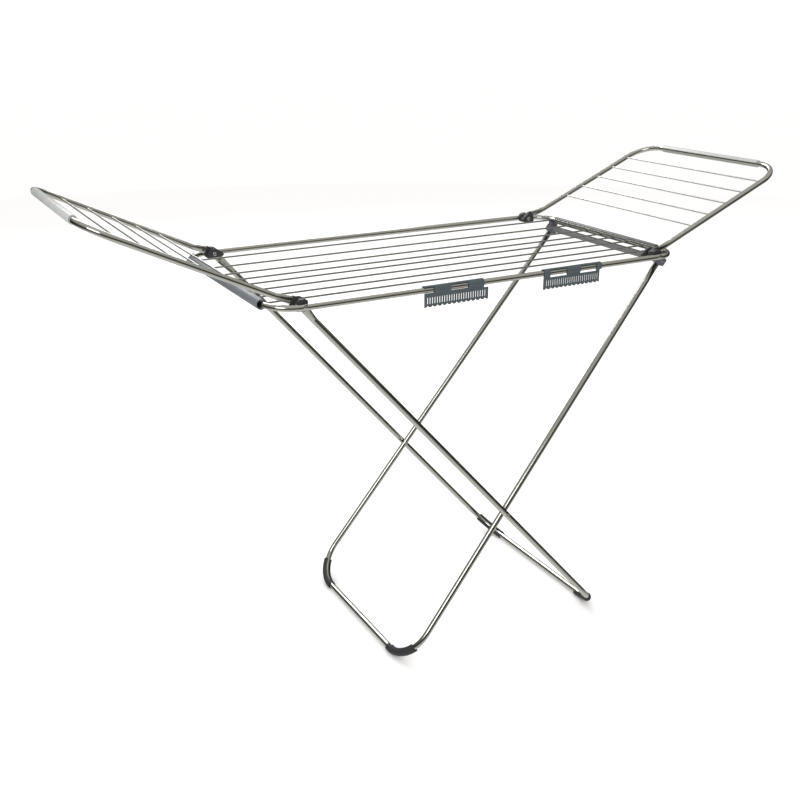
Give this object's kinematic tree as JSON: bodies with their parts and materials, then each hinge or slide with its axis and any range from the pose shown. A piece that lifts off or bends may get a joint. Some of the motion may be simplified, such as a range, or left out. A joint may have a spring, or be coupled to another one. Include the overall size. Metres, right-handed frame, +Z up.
{
  "type": "clothes drying rack",
  "caption": "Winged clothes drying rack: wire-strung tube frame on crossed folding legs, with a raised wing at each end and comb clips on one rail.",
  "frame": {"origin": "on the floor, under the centre of the main frame", "axes": "+X along the rack towards the end held by the saddles, +Y across it away from the rail with the comb clips, +Z up"},
  "size_m": [1.7156, 0.5674, 1.1258],
  "materials": {
    "polished_tube": "polished stainless steel tube",
    "wire_steel": "drawn stainless steel wire",
    "rivet_steel": "bright pressed steel",
    "grip_plastic": "smooth slate grey extruded plastic",
    "end_sleeve_plastic": "mid grey extruded plastic",
    "wing_sleeve_plastic": "pale silver grey extruded plastic",
    "bracket_plastic": "charcoal moulded plastic",
    "foot_plastic": "dark charcoal soft moulded plastic",
    "saddle_plastic": "dusky violet grey moulded plastic",
    "clip_plastic": "dark blue grey moulded plastic",
    "top_bar_plastic": "grey plastic covered bar",
    "fitting_plastic": "plain nylon"
  },
  "bodies": {
    "frame": {"frame_tube": "polished_tube", "frame_joint_plug": "fitting_plastic", "main_wire_1": "wire_steel", "main_wire_2": "wire_steel", "main_wire_3": "wire_steel", "main_wire_4": "wire_steel", "main_wire_5": "wire_steel", "main_wire_6": "wire_steel", "main_wire_7": "wire_steel", "main_wire_8": "wire_steel", "left_end_grip": "grip_plastic", "right_end_sleeve": "end_sleeve_plastic", "left_near_bracket": "bracket_plastic", "left_near_hinge_rivet": "rivet_steel", "left_far_bracket": "bracket_plastic", "left_far_hinge_rivet": "rivet_steel", "right_near_bracket": "bracket_plastic", "right_near_hinge_rivet": "rivet_steel", "right_far_bracket": "bracket_plastic", "right_far_hinge_rivet": "rivet_steel"},
    "outer_legs": {"outer_leg_tube": "polished_tube", "outer_near_foot": "foot_plastic", "outer_far_foot": "foot_plastic", "cross_rivet_near": "rivet_steel", "cross_rivet_far": "rivet_steel", "cross_spacer_near": "fitting_plastic", "cross_spacer_far": "fitting_plastic"},
    "inner_legs": {"inner_leg_tube": "polished_tube", "inner_top_bar": "top_bar_plastic", "inner_near_foot": "foot_plastic", "inner_far_foot": "foot_plastic", "inner_near_saddle": "saddle_plastic", "inner_far_saddle": "saddle_plastic", "inner_near_top_rivet": "rivet_steel", "inner_far_top_rivet": "rivet_steel"},
    "left_wing": {"left_wing_tube": "polished_tube", "left_wing_sleeve": "wing_sleeve_plastic", "left_near_wing_cap": "bracket_plastic", "left_far_wing_cap": "bracket_plastic", "left_wing_wire_1": "wire_steel", "left_wing_wire_2": "wire_steel", "left_wing_wire_3": "wire_steel", "left_wing_wire_4": "wire_steel", "left_wing_wire_5": "wire_steel"},
    "right_wing": {"right_wing_tube": "polished_tube", "right_wing_sleeve": "wing_sleeve_plastic", "right_near_wing_cap": "bracket_plastic", "right_far_wing_cap": "bracket_plastic", "right_wing_wire_1": "wire_steel", "right_wing_wire_2": "wire_steel", "right_wing_wire_3": "wire_steel", "right_wing_wire_4": "wire_steel", "right_wing_wire_5": "wire_steel"},
    "left_clip": {"left_comb_clip": "clip_plastic"},
    "right_clip": {"right_comb_clip": "clip_plastic"}
  },
  "joints": [
    {"name": "outer_leg_fold", "type": "hinge", "parent": "frame", "child": "outer_legs", "pos_m": [-0.4485, 0, 0.93], "axis": [0, 1, 0], "range_deg": [0, 38]},
    {"name": "inner_leg_fold", "type": "hinge", "parent": "outer_legs", "child": "inner_legs", "pos_m": [0.06232, 0, 0.34475], "axis": [0, 1, 0], "range_deg": [-76, 0]},
    {"name": "left_wing_fold", "type": "hinge", "parent": "frame", "child": "left_wing", "pos_m": [-0.4485, 0, 0.93], "axis": [0, 1, 0], "range_deg": [0, 153]},
    {"name": "right_wing_fold", "type": "hinge", "parent": "frame", "child": "right_wing", "pos_m": [0.4485, 0, 0.93], "axis": [0, -1, 0], "range_deg": [0, 155]},
    {"name": "left_clip_slide", "type": "slide", "parent": "frame", "child": "left_clip", "axis": [1, 0, 0], "range_m": [-0.235, 0.06]},
    {"name": "right_clip_slide", "type": "slide", "parent": "frame", "child": "right_clip", "axis": [1, 0, 0], "range_m": [-0.07, 0.145]}
  ],
  "couplings": [
    {"joint": "inner_leg_fold", "follows": "outer_leg_fold", "ratio": -2}
  ]
}
